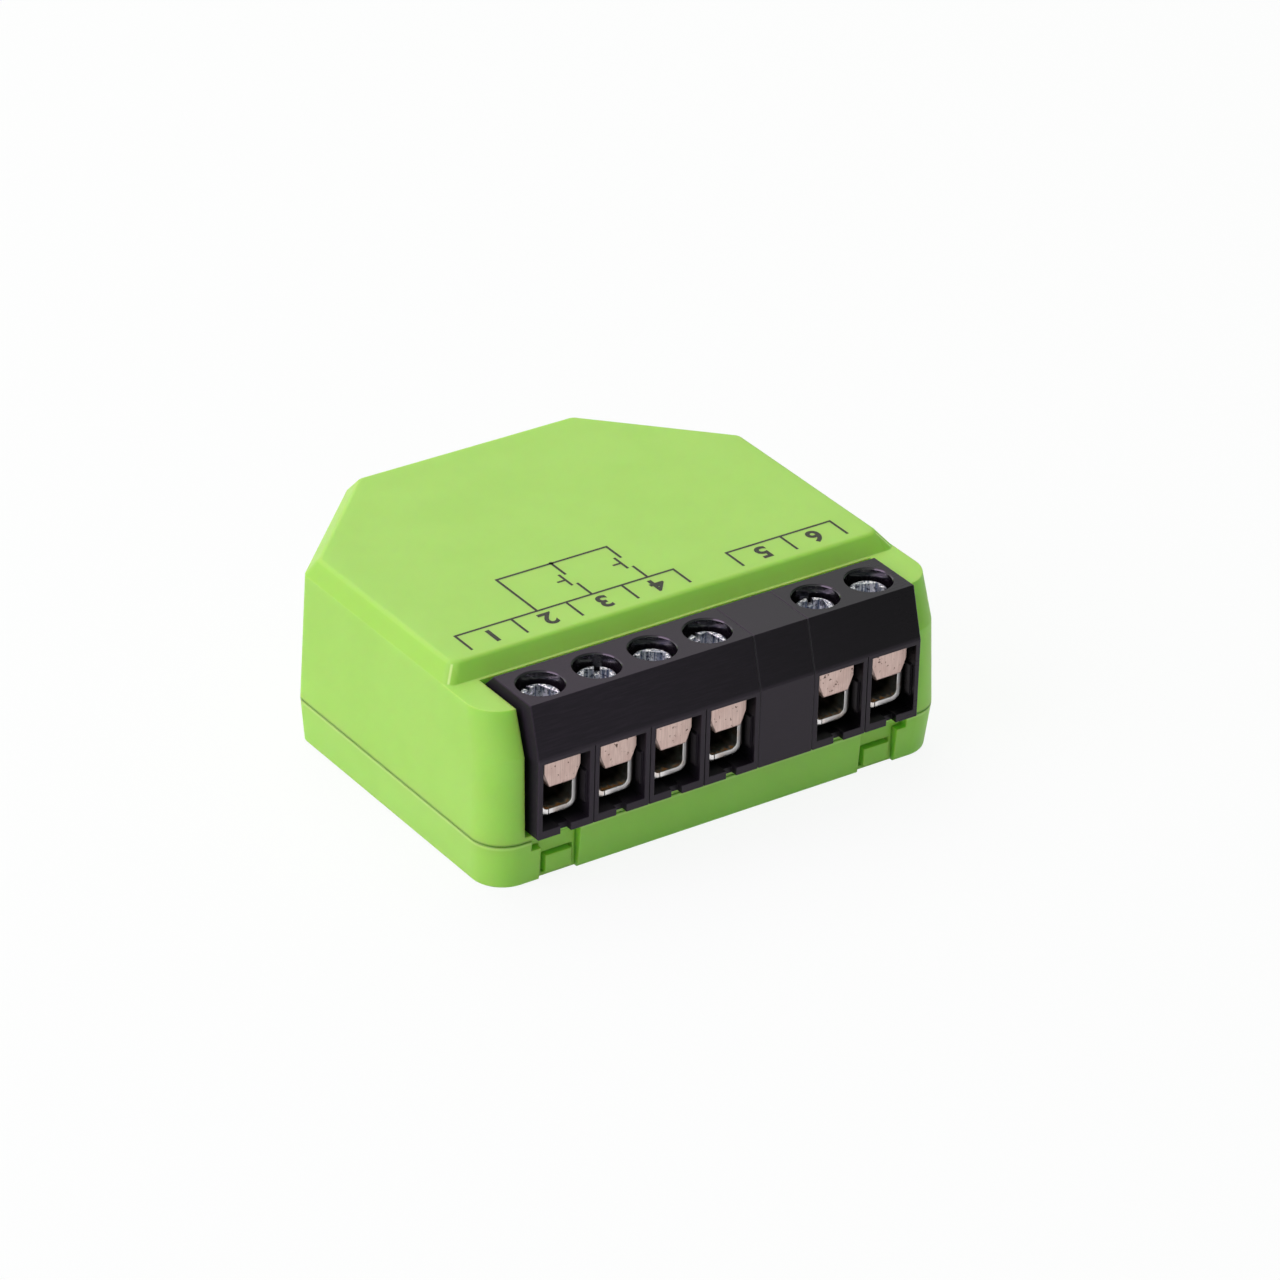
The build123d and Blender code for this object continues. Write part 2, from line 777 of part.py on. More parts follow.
# Transformer: two E halves as one core, a bobbin round its middle leg, the winding on the bobbin
core_base_z = board_top_z + bobbin_foot
core_top_z = ceiling_z - transformer_top_gap
core_mid_z = (core_base_z + core_top_z) / 2
core_window_height = core_top_z - core_base_z - 2 * core_yoke
window_offset = (core_leg + core_window_width) / 2
with BuildPart() as transformer_core:
    with BuildSketch(Plane.XZ.offset(-transformer_y)):
        with Locations((transformer_x, core_mid_z)):
            Rectangle(core_width, core_top_z - core_base_z)
        for side in (-1, 1):
            with Locations((transformer_x + side * window_offset, core_mid_z)):
                Rectangle(core_window_width, core_window_height, mode=Mode.SUBTRACT)
    extrude(amount=core_depth / 2, both=True)
save(transformer_core.part, "transformer_core")

bobbin_height = core_window_height - 2 * bobbin_clearance
bobbin_hole_width = core_leg + 2 * bobbin_clearance
bobbin_hole_depth = core_depth + 2 * bobbin_clearance
tube_width = bobbin_hole_width + 2 * bobbin_tube
tube_depth = bobbin_hole_depth + 2 * bobbin_tube
with BuildPart() as transformer_bobbin:
    for end in (-1, 1):
        flange_z = core_mid_z + end * (bobbin_height - bobbin_flange) / 2
        with Locations((transformer_x, transformer_y, flange_z)):
            Box(bobbin_width, bobbin_width, bobbin_flange)
    with Locations((transformer_x, transformer_y, core_mid_z)):
        Box(tube_width, tube_depth, bobbin_height)
        Box(bobbin_hole_width, bobbin_hole_depth, bobbin_height, mode=Mode.SUBTRACT)
    for row in (-1, 1):
        foot_y = transformer_y + row * (bobbin_width - bobbin_flange) / 2
        box_between(
            (transformer_x - bobbin_width / 2, foot_y - bobbin_flange / 2, board_top_z),
            (transformer_x + bobbin_width / 2, foot_y + bobbin_flange / 2, core_mid_z - bobbin_height / 2),
        )
save(transformer_bobbin.part, "transformer_bobbin")

winding_height = bobbin_height - 2 * bobbin_flange
winding_width = bobbin_width - 2 * winding_inset
with BuildPart() as transformer_winding:
    with BuildSketch(Plane.XY.offset(core_mid_z - winding_height / 2)):
        with Locations((transformer_x, transformer_y)):
            RectangleRounded(winding_width, winding_width, core_leg / 2)
            Rectangle(tube_width, tube_depth, mode=Mode.SUBTRACT)
    extrude(amount=winding_height)
save(transformer_winding.part, "transformer_winding")


def capacitor(x, y, diameter, height):
    """A standing aluminium can with a crimped foot and a scored top."""
    radius = diameter / 2
    crimp_z = board_top_z + capacitor_crimp_height
    top_z = board_top_z + height
    with BuildPart() as can:
        with BuildSketch(Plane.XZ.offset(-y)):
            with BuildLine(Plane.XZ.offset(-y)):
                Polyline(
                    (x, board_top_z),
                    (x + radius, board_top_z),
                    (x + radius, crimp_z - capacitor_crimp),
                    (x + radius - capacitor_crimp, crimp_z),
                    (x + radius, crimp_z + capacitor_crimp),
                    (x + radius, top_z - capacitor_crimp),
                    (x + radius - capacitor_crimp, top_z),
                    (x, top_z),
                    close=True,
                )
            make_face()
        revolve(axis=Axis((x, y, 0), (0, 0, 1)))
        with Locations((x, y, top_z)):
            Box(radius, capacitor_score_width, 2 * capacitor_score_depth, mode=Mode.SUBTRACT)
            Box(capacitor_score_width, radius, 2 * capacitor_score_depth, mode=Mode.SUBTRACT)
    return can.part


input_capacitor_height = ceiling_z - board_top_z - input_capacitor_top_gap
for number, y in enumerate(input_capacitor_ys, start=1):
    can = capacitor(input_x, y, input_capacitor_diameter, input_capacitor_height)
    save(can, f"input_capacitor_{number}")
can = capacitor(filter_x, output_capacitor_y, output_capacitor_diameter, output_capacitor_height)
save(can, "output_capacitor")
can = capacitor(bus_x, bus_capacitor_y, bus_capacitor_diameter, bus_capacitor_height)
save(can, "bus_capacitor")

# Varistor: a coated disc on two leads
varistor_z = board_top_z + varistor_lift + varistor_diameter / 2
with BuildPart() as varistor:
    with BuildSketch(Plane.XZ.offset(-varistor_y - varistor_thickness / 2)):
        with Locations((transformer_x, varistor_z)):
            Circle(varistor_diameter / 2)
    extrude(amount=varistor_thickness)
    fillet(varistor.edges(), varistor_edge)
    for side in (-1, 1):
        with Locations((transformer_x + side * varistor_lead_distance / 2, varistor_y, board_top_z)):
            Cylinder(lead_diameter / 2, varistor_z - board_top_z, align=standing)
save(varistor.part, "varistor")

# Fusible resistor: lying along X, its leads bent down to the board
resistor_z = board_top_z + resistor_diameter / 2 + part_gap
resistor_line = Location((transformer_x, resistor_y, resistor_z), (0, 90, 0))
with BuildPart() as fusible_resistor:
    with Locations(resistor_line):
        Cylinder(resistor_diameter / 2, resistor_length)
    fillet(fusible_resistor.edges(), resistor_end)
    with Locations(resistor_line):
        Cylinder(lead_diameter / 2, resistor_lead_distance)
    for side in (-1, 1):
        lead_x = transformer_x + side * resistor_lead_distance / 2
        with Locations((lead_x, resistor_y, board_top_z)):
            Cylinder(lead_diameter / 2, resistor_z - board_top_z, align=standing)
        with Locations((lead_x, resistor_y, resistor_z)):
            Sphere(lead_diameter / 2)
save(fusible_resistor.part, "fusible_resistor")

# Filter inductor: a drum with its winding space
drum_outer_x = filter_x + inductor_diameter / 2
drum_inner_x = drum_outer_x - inductor_groove
drum_top_z = board_top_z + inductor_height
with BuildPart() as filter_inductor:
    with BuildSketch(Plane.XZ.offset(-inductor_y)):
        with BuildLine(Plane.XZ.offset(-inductor_y)):
            Polyline(
                (filter_x, board_top_z),
                (drum_outer_x, board_top_z),
                (drum_outer_x, board_top_z + inductor_flange),
                (drum_inner_x, board_top_z + inductor_flange),
                (drum_inner_x, drum_top_z - inductor_flange),
                (drum_outer_x, drum_top_z - inductor_flange),
                (drum_outer_x, drum_top_z),
                (filter_x, drum_top_z),
                close=True,
            )
        make_face()
    revolve(axis=Axis((filter_x, inductor_y, 0), (0, 0, 1)))
save(filter_inductor.part, "filter_inductor")


def board_place(x, y, under=False):
    """A plane on the main board's top face, or on its underside and facing down."""
    if under:
        return Plane((x, y, board_base_z), x_dir=(1, 0, 0), z_dir=(0, 0, -1))
    return Plane((x, y, board_top_z))


def package(place, size, lead_pitch, leads_a_side, lead_length=package_lead_length):
    """A moulded chip package with a row of leads along its front and its rear."""
    width, depth, height = size
    with BuildPart(place) as chip:
        with Locations((0, 0, part_gap)):
            Box(width, depth, height - part_gap, align=standing)
        chamfer(chip.edges().group_by(Axis(place.origin, place.z_dir))[-1], package_edge)
        for row in (-1, 1):
            with Locations((0, row * (depth + lead_length) / 2)):
                with GridLocations(lead_pitch, lead_pitch, leads_a_side, 1):
                    Box(package_lead_width, lead_length, package_lead_thickness, align=standing)
            with Locations((0, row * (depth + package_lead_thickness) / 2)):
                with GridLocations(lead_pitch, lead_pitch, leads_a_side, 1):
                    Box(package_lead_width, package_lead_thickness, height / 2, align=standing)
    return chip.part


bridge_size = (bridge_width, bridge_depth, bridge_height)
transistor_size = (transistor_width, transistor_depth, transistor_height)
controller_size = (controller_width, controller_depth, controller_height)
optocoupler_size = (optocoupler_width, optocoupler_depth, optocoupler_height)
save(package(board_place(filter_x, rectifier_y), bridge_size, bridge_lead_pitch, 2), "bridge_rectifier")
save(package(board_place(bus_x, bus_bridge_y), bridge_size, bridge_lead_pitch, 2), "bus_bridge")
save(package(board_place(bus_x, transistor_y), transistor_size, transistor_lead_pitch, 2), "bus_transistor")
for y, name in zip(optocoupler_ys, ("optocoupler_receive", "optocoupler_send")):
    place = board_place(optocoupler_x, y)
    save(package(place, optocoupler_size, optocoupler_lead_pitch, 2, optocoupler_lead_length), name)
controller_place = board_place(controller_x, case_mid_y, under=True)
save(package(controller_place, controller_size, controller_lead_pitch, 4), "power_controller")


def chips(place, height, count):
    """A column of small two-ended parts, with end caps that stand a little proud."""
    with BuildPart(place) as group:
        with GridLocations(chip_width, chip_depth + chip_gap, 1, count):
            Box(chip_width, chip_depth, height, align=standing)
            Box(chip_width - 2 * chip_cap_length, chip_depth, 2 * part_gap, mode=Mode.SUBTRACT)
    return group.part


chip_resistor_place = board_place(chip_resistor_x, case_mid_y, under=True)
save(chips(chip_resistor_place, chip_resistor_height, chip_resistor_count), "chip_resistors")
chip_capacitor_place = board_place(chip_capacitor_x, case_mid_y, under=True)
save(chips(chip_capacitor_place, chip_capacitor_height, chip_capacitor_count), "chip_capacitors")

# Radio board and what it carries
with BuildPart() as radio_board:
    box_between((-radio_half, radio_front_y, radio_base_z), (radio_half, radio_rear_y, radio_top_z))
save(radio_board.part, "radio_board")

shield_base_z = radio_base_z + shield_lift
shield_top_z = radio_top_z - shield_top_gap
with BuildPart() as shield_can:
    box_between(
        (shield_x - shield_width / 2, radio_rear_y, shield_base_z),
        (shield_x + shield_width / 2, radio_rear_y + shield_depth, shield_top_z),
    )
    fillet(shield_can.edges().group_by(Axis.Y)[-1], shield_sheet)
    inside = shield_width / 2 - shield_sheet
    box_between(
        (shield_x - inside, radio_rear_y, shield_base_z + shield_sheet),
        (shield_x + inside, radio_rear_y + shield_depth - shield_sheet, shield_top_z - shield_sheet),
        Mode.SUBTRACT,
    )
save(shield_can.part, "shield_can")

processor_base_z = shield_base_z + shield_sheet + processor_end_gap
processor_top_z = shield_top_z - shield_sheet - processor_end_gap
with BuildPart() as processor_chip:
    box_between(
        (shield_x - processor_width / 2, radio_rear_y, processor_base_z),
        (shield_x + processor_width / 2, radio_rear_y + processor_thickness, processor_top_z),
    )
    chamfer(processor_chip.edges().group_by(Axis.Y)[-1], package_edge / 2)
save(processor_chip.part, "processor_chip")

with BuildPart() as chip_antenna:
    with Locations((antenna_x, radio_rear_y, radio_top_z - antenna_top_gap)):
        Box(antenna_width, antenna_depth, antenna_height, align=(Align.CENTER, Align.MIN, Align.MAX))
save(chip_antenna.part, "chip_antenna")

with BuildPart() as link_pins:
    for x in pin_xs:
        box_between(
            (x - link_pin_width / 2, link_pin_front_y, board_base_z - link_pin_below_board),
            (x + link_pin_width / 2, radio_front_y, radio_base_z + link_pin_rise),
        )
save(link_pins.part, "link_pins")

# Service header, behind its opening in the rear wall
with BuildPart() as service_header:
    box_between(
        (header_x - header_width / 2, header_front_y, board_top_z),
        (header_x + header_width / 2, header_rear_y, board_top_z + header_height),
    )
    with BuildSketch(Plane.XZ.offset(-header_rear_y)):
        with Locations((header_x, board_top_z + header_height / 2)):
            with GridLocations(header_pin_pitch, header_pin_pitch, header_pin_count, 1):
                Rectangle(header_bore, header_bore)
    extrude(amount=header_length - header_bore, mode=Mode.SUBTRACT)
save(service_header.part, "service_header")

# Status light and the guide that carries it to the rear wall
guide_inner_y = inner_rear_y - part_gap
led_rear_y = guide_inner_y - guide_flange - part_gap
with BuildPart() as status_light:
    with Locations((guide_x, led_rear_y, board_top_z)):
        Box(led_width, led_depth, led_height, align=(Align.CENTER, Align.MAX, Align.MIN))
    with Locations((guide_x, led_rear_y - led_depth / 2, board_top_z + led_height)):
        Box(led_width, led_depth / 2, led_height, align=(Align.CENTER, Align.MAX, Align.MIN))
save(status_light.part, "status_light")

with BuildPart() as light_guide:
    with BuildSketch(Plane.XZ.offset(-guide_inner_y)):
        with Locations((guide_x, guide_z)):
            Circle(guide_flange_diameter / 2)
    extrude(amount=guide_flange)
    with BuildSketch(Plane.XZ.offset(-guide_inner_y)):
        with Locations((guide_x, guide_z)):
            Circle(guide_diameter / 2 - part_gap)
    extrude(amount=-wall)
save(light_guide.part, "light_guide")

# Push switch on the board's rear edge, its plunger, and the button in the rear wall
with BuildPart() as switch_body:
    box_between(
        (button_x - switch_width / 2, switch_front_y, board_top_z),
        (button_x + switch_width / 2, switch_rear_y, board_top_z + switch_height),
    )
    with BuildSketch(Plane.XZ.offset(-switch_rear_y)):
        with Locations((button_x, button_z)):
            Circle(plunger_diameter / 2 + button_clearance)
    extrude(amount=2 * plunger_overlap + button_travel, mode=Mode.SUBTRACT)
save(switch_body.part, "switch_body")

with BuildPart() as switch_plunger:
    with BuildSketch(Plane.XZ.offset(-plunger_rear_y)):
        with Locations((button_x, button_z)):
            Circle(plunger_diameter / 2)
    extrude(amount=plunger_rear_y - switch_rear_y + plunger_overlap)
save(switch_plunger.part, "switch_plunger")

with BuildPart() as control_button:
    with BuildSketch(Plane.XZ.offset(-plunger_rear_y)):
        with Locations((button_x, button_z)):
            Circle(button_flange_diameter / 2)
    extrude(amount=-button_flange)
    nose_rear_y = case_rear_y - button_recess
    with BuildSketch(Plane.XZ.offset(-button_inner_y)):
        with Locations((button_x, button_z)):
            Circle(button_diameter / 2)
    extrude(amount=button_inner_y - nose_rear_y)
    fillet(control_button.edges().group_by(Axis.Y)[-1], button_edge_radius)
save(control_button.part, "control_button")
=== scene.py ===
import json
import math

import bmesh
import bpy
from mathutils import Matrix, Vector


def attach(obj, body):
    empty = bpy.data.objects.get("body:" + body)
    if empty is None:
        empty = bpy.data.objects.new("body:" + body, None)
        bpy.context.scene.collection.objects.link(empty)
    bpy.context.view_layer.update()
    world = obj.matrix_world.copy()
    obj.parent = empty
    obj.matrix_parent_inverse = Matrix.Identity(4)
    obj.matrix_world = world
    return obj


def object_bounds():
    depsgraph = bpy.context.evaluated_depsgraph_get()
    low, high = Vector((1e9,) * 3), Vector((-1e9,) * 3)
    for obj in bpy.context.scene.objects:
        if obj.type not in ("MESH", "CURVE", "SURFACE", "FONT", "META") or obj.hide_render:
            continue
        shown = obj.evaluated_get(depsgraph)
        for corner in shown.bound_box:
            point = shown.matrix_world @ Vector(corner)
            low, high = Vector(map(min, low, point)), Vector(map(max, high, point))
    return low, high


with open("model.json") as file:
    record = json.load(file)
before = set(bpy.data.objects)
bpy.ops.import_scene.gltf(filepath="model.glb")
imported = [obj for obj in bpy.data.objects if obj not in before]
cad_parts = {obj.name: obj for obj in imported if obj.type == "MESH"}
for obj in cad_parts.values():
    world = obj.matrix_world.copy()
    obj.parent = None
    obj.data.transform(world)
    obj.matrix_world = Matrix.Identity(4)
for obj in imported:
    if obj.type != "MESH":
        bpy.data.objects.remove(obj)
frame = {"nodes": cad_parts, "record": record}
cad_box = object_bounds()

MM = 0.001

# Places on the module that its finishes follow, in millimetres. Along the mitres at the roof's front
# corners, the distance from the middle plane and y have one sum
parting_z = 3.9
lip_drop = 0.2
pole_width = 5.0
half_pole = pole_width / 2
spacer_x = 5.0
screw_y = -15.58
hole_radius = 1.86
block_front_y = -19.3
block_half_width = 18.0
cell_shade_depth = 1.4
cell_shade_top = (10.7, 11.2)
roof_band_foot = 14.7
roof_band_top = 15.75
roof_half_width = 19.56
roof_mitre_sum = 9.07
cage_front_y = -18.1
cage_floor_z = 6.05
border = 0.1

# Print on the roof, in millimetres
roof_z = cad_box[1].z / MM
ink_width = 0.21
half_ink = ink_width / 2
ink_height = 0.008
ink_sink = 0.01
ink_depth = ink_height + ink_sink
ink_middle_z = roof_z + (ink_height - ink_sink) / 2
bracket_y = -7.25
left_ticks = (-17.18, -12.2, -7.25, -2.2, 2.57)
right_ticks = (7.5, 12.55, 17.3)
tick_length = 2.4
branch_y = -1.6
supply_x = -9.84
switch_xs = (-4.87, 0.22)
switch_gap = 0.5
switch_top = -3.64
switch_foot = -5.09
switch_bar_half = 0.96
switch_stem = 0.65
junction_radius = 0.2
number_size = 2.4
number_weight = 0.07
number_xs = (-14.7, -9.7, -4.7, 0.2, 10.0, 14.9)
number_y = -8.55

# Camera, fitted to the photograph: in metres and degrees, with the lens and the sensor in millimetres
camera_place = (-0.221948, -0.324364, 0.230018)
camera_azimuth = -34.9481
camera_elevation = 29.5539
camera_roll = 1.5959
camera_lens = 163.465
sensor_width = 36

# Sky and floor: the floor's size is in metres, and its mirror image fades between two distances in
# millimetres
sky_strength = 0.38
sky_bright_side = (-0.52, 0.66, 0.54)
sky_dim_level = 0.3
sky_mirrored_dim_level = 0.04
sky_bright_level = 1.4
sky_dim_colour = (0.72, 1.0, 0.74, 1.0)
sky_bright_colour = (0.98, 0.95, 1.0, 1.0)
floor_size = 4.0
floor_colour = (0.86, 0.98, 0.88, 1.0)
floor_glow = 0.9
floor_mirror_fade = (60.0, 260.0)
white = (1, 1, 1, 1)


class Wire:
    """One output of a node. Arithmetic on it adds the Math node that works it out."""

    def __init__(self, nodes, socket):
        self.nodes = nodes
        self.socket = socket

    def maths(self, operation, *values):
        return self.nodes.node("ShaderNodeMath", {"operation": operation}, dict(enumerate(values)))

    def __add__(self, other):
        return self.maths("ADD", self, other)

    def __radd__(self, other):
        return self.maths("ADD", other, self)

    def __sub__(self, other):
        return self.maths("SUBTRACT", self, other)

    def __rsub__(self, other):
        return self.maths("SUBTRACT", other, self)

    def __mul__(self, other):
        return self.maths("MULTIPLY", self, other)

    def __pow__(self, other):
        return self.maths("POWER", self, other)

    def __abs__(self):
        return self.maths("ABSOLUTE", self)

    def wave(self):
        return self.maths("SINE", self)

    def fraction(self):
        return self.maths("FRACT", self)

    def least(self, other):
        return self.maths("MINIMUM", self, other)

    def most(self, other):
        return self.maths("MAXIMUM", self, other)

    def wrap(self, low, high):
        """The value brought back into a range that repeats."""
        return self.maths("WRAP", self, high, low)

    def ramp(self, low, high):
        """0 up to low and 1 from high on, with a smooth rise between."""
        settings = {"interpolation_type": "SMOOTHSTEP"}
        inputs = {"Value": self, "From Min": low, "From Max": high}
        return self.nodes.node("ShaderNodeMapRange", settings, inputs, "Result")

    def fall(self, low, high):
        """1 up to low and 0 from high on, with a smooth fall between."""
        return 1 - self.ramp(low, high)

    def line(self, inner, outer):
        """A line where the value is zero: 1 as far as inner on both sides, and 0 from outer on."""
        return abs(self).fall(inner, outer)


class Nodes:
    """A node tree that is written as expressions on its wires."""

    def __init__(self, tree):
        self.tree = tree

    def node(self, kind, settings=None, inputs=None, output=0):
        """Adds a node: its settings come first, then the values or links of its sockets."""
        added = self.tree.nodes.new(kind)
        for setting, value in (settings or {}).items():
            setattr(added, setting, value)
        for socket, value in (inputs or {}).items():
            self.join(value, added.inputs[socket])
        return Wire(self, added.outputs[output])

    def join(self, value, socket):
        """Gives a socket a link to a wire, or a value of its own."""
        if isinstance(value, Wire):
            self.tree.links.new(value.socket, socket)
        else:
            socket.default_value = value

    def vector(self, operation, first, second, output="Vector"):
        settings = {"operation": operation}
        return self.node("ShaderNodeVectorMath", settings, {0: first, 1: second}, output)

    def mix(self, share, first, second):
        """A colour between two, by a share from 0 to 1. The node's colour sockets are its last."""
        return self.node("ShaderNodeMix", {"data_type": "RGBA"}, {0: share, 6: first, 7: second}, 2)

    def ray(self, kind):
        """1 for rays of one kind: Camera, Glossy or Transmission."""
        return self.node("ShaderNodeLightPath", output=f"Is {kind} Ray")


class Finish(Nodes):
    """A procedural material for one surface."""

    def __init__(self, name, **constants):
        self.material = bpy.data.materials.new(name)
        self.material.use_nodes = True
        super().__init__(self.material.node_tree)
        self.shader = self.tree.nodes["Principled BSDF"]
        self.feed(**constants)

    def feed(self, **sockets):
        """Gives sockets of the shader their values or links."""
        for socket, value in sockets.items():
            self.join(value, self.shader.inputs[socket.replace("_", " ")])

    def place(self):
        """The point on the surface in millimetres, in the object's own frame."""
        metres = self.node("ShaderNodeTexCoord", output="Object")
        return self.stretch(metres, 1 / MM, 1 / MM, 1 / MM)

    def parts(self, vector):
        """The X, Y and Z of a vector."""
        outputs = self.node("ShaderNodeSeparateXYZ", inputs={"Vector": vector}).socket.node.outputs
        return [Wire(self, outputs[axis]) for axis in ("X", "Y", "Z")]

    def stretch(self, vector, x, y, z):
        """A vector with each of its parts multiplied by a factor of its own."""
        return self.vector("MULTIPLY", vector, (x, y, z))

    def noise(self, vector, scale, detail=3.0, roughness=0.5):
        """Cloudy noise. The scale is in features to a millimetre."""
        inputs = {"Vector": vector, "Scale": scale, "Detail": detail, "Roughness": roughness}
        return self.node("ShaderNodeTexNoise", inputs=inputs, output="Fac")

    def cells(self, vector, scale):
        """The distance to the nearest of many scattered points."""
        inputs = {"Vector": vector, "Scale": scale}
        return self.node("ShaderNodeTexVoronoi", inputs=inputs, output="Distance")

    def rounded(self, radius):
        """The normal of the surface with its edges rounded over, by a radius in millimetres."""
        return self.node("ShaderNodeBevel", {"samples": 6}, {"Radius": radius * MM}, "Normal")

    def edge(self, rounded):
        """How near the point is to an edge: how far the rounded normal turns from the flat one."""
        flat = self.node("ShaderNodeNewGeometry", output="Normal")
        return (1 - self.vector("DOT_PRODUCT", rounded, flat, "Value")).ramp(0.0, 0.12)

    def bump(self, height, strength, depth, normal=None):
        """Relief from a height of 0 to 1, which stands depth millimetres proud."""
        inputs = {"Height": height, "Strength": strength, "Distance": depth * MM}
        if normal is not None:
            inputs["Normal"] = normal
        return self.node("ShaderNodeBump", inputs=inputs, output="Normal")


def rgb(red, green, blue):
    """A colour as it is seen, in steps of 0 to 255, as a shader takes it."""
    steps = [value / 255 for value in (red, green, blue)]
    linear = [s / 12.92 if s <= 0.04045 else ((s + 0.055) / 1.055) ** 2.4 for s in steps]
    return (*linear, 1.0)


def screw_distance(x, y):
    """How far a point is from the axis of the screw in its own pole, in millimetres."""
    sideways = x.wrap(-half_pole, half_pole)
    along = y - screw_y
    return (sideways * sideways + along * along) ** 0.5


# Materials of the case and the terminals

def moulded_green(name):
    """Satin lime ABS with a fine spark texture.

    Painted shade makes the bevels along the roof's sides a deeper green, and a painted highlight runs
    up the mitres at its front corners. Edges carry a painted highlight too. Where the case's halves
    meet there is a painted shadow line over a painted highlight along the edge below it.
    """
    scatter = (0.45, 1.0, 0.12)
    finish = Finish(
        name, IOR=1.46, Subsurface_Weight=0.6, Subsurface_Radius=scatter, Subsurface_Scale=0.0016
    )
    place = finish.place()
    x, y, z = finish.parts(place)
    rounded = finish.rounded(0.16)
    patches = finish.noise(place, 0.22, detail=2.0).ramp(0.3, 0.7)
    body = finish.mix(patches, rgb(163, 219, 86), rgb(166, 222, 90))
    fleck = finish.noise(place, 6.0, detail=2.0).ramp(0.66, 0.8)
    body = finish.mix(fleck * 0.14, body, rgb(148, 196, 78))
    band_start = z.ramp(roof_band_foot, roof_band_foot + border)
    band = band_start * z.fall(roof_band_top, roof_band_top + border)
    # Painted shade: the bevels along the roof's sides a deeper green.
    bevel_shade = band * abs(x).ramp(roof_half_width - 2 * border, roof_half_width)
    body = finish.mix(bevel_shade * 0.45, body, rgb(152, 212, 66))
    # Painted highlight: the edges a lighter green, where light catches them.
    body = finish.mix(finish.edge(rounded) * 0.2, body, rgb(200, 240, 136))
    # Painted highlight up the mitre at each front corner of the roof.
    mitre_highlight = band * (abs(x) + y - roof_mitre_sum).line(0.06, 0.2)
    body = finish.mix(mitre_highlight * 0.7, body, rgb(226, 252, 166))
    # Painted highlight along the lower case's edge, just under the parting line.
    lip_highlight = (z - (parting_z - lip_drop)).line(0.06, 0.22)
    body = finish.mix(lip_highlight * 0.4, body, rgb(206, 244, 138))
    # Painted shadow line where the case's halves meet.
    parting_shadow = (z - parting_z).line(0.08, 0.2)
    body = finish.mix(parting_shadow * 0.5, body, rgb(48, 116, 4))
    grain = finish.noise(place, 11.0, roughness=0.6)
    waves = finish.noise(place, 0.35, detail=1.0)
    relief = finish.bump(waves, 0.12, 0.03, rounded)
    finish.feed(
        Base_Color=body,
        Roughness=0.4 + grain * 0.14,
        Normal=finish.bump(grain, 0.3, 0.006, relief),
    )
    return finish.material


def moulded_black(name):
    """Black nylon of the terminal blocks: satin, with flow marks and faint seams beside the spacer.

    Painted shade makes it darker towards the right, as in the photograph. The screw holes are glossy
    and darkened with painted shade, painted light makes the front faces a little lighter, edges carry a
    painted highlight, and painted shade makes the insides of the cells and the blocks' ends almost
    black.
    """
    tint = (0.97, 0.86, 1.0, 1.0)
    finish = Finish(name, IOR=1.4, Specular_IOR_Level=0.3, Specular_Tint=tint, Coat_Roughness=0.12)
    place = finish.place()
    x, y, z = finish.parts(place)
    rounded = finish.rounded(0.07)
    flow = finish.noise(finish.stretch(place, 0.25, 3.0, 3.0), 2.2, detail=4.0)
    right = x.ramp(-16.0, 18.0)
    body = finish.mix(flow.ramp(0.35, 0.75), rgb(33, 27, 36), rgb(41, 34, 44))
    # Painted shade: the blocks darker towards the right, where less light falls.
    body = finish.mix(right * 0.95, body, rgb(8, 7, 9))
    dust = finish.noise(place, 9.0, detail=2.0).ramp(0.7, 0.78)
    body = finish.mix(dust * 0.15, body, rgb(96, 88, 98))
    from_spacer = abs(x - spacer_x)
    seam = (from_spacer - half_pole).line(0.02, 0.08)
    body = finish.mix(seam * 0.35, body, rgb(92, 86, 94))
    # Painted highlight: the edges lighter, where light catches them.
    body = finish.mix(finish.edge(rounded) * 0.18, body, rgb(96, 88, 98))
    grain = finish.noise(place, 14.0, roughness=0.6)
    shaded_bore = screw_distance(x, y).fall(hole_radius, hole_radius + border)
    shaded_bore = shaded_bore * from_spacer.ramp(half_pole - border, half_pole)
    # Painted shade: the walls of the screw holes darkened. The same mask makes them glossy.
    body = finish.mix(shaded_bore * 0.8, body, rgb(18, 16, 19))
    # Painted light: the blocks' front faces a little lighter.
    front = y.fall(block_front_y + 0.02, block_front_y + border)
    body = finish.mix(front * 0.34, body, rgb(74, 64, 76))
    # Painted shade: the insides of the cells and the blocks' ends almost black.
    cell = y.ramp(block_front_y + border, block_front_y + cell_shade_depth)
    cell = cell * z.fall(*cell_shade_top)
    shaded_inside = cell.most(abs(x).ramp(block_half_width - border, block_half_width - 0.02))
    body = finish.mix(shaded_inside * 0.75, body, rgb(9, 9, 10))
    finish.feed(
        Base_Color=body,
        Roughness=0.44 + flow * 0.14 - right * 0.22 - shaded_bore * 0.2,
        Coat_Weight=shaded_bore,
        Normal=finish.bump(grain, 0.3, 0.005, rounded),
    )
    return finish.material


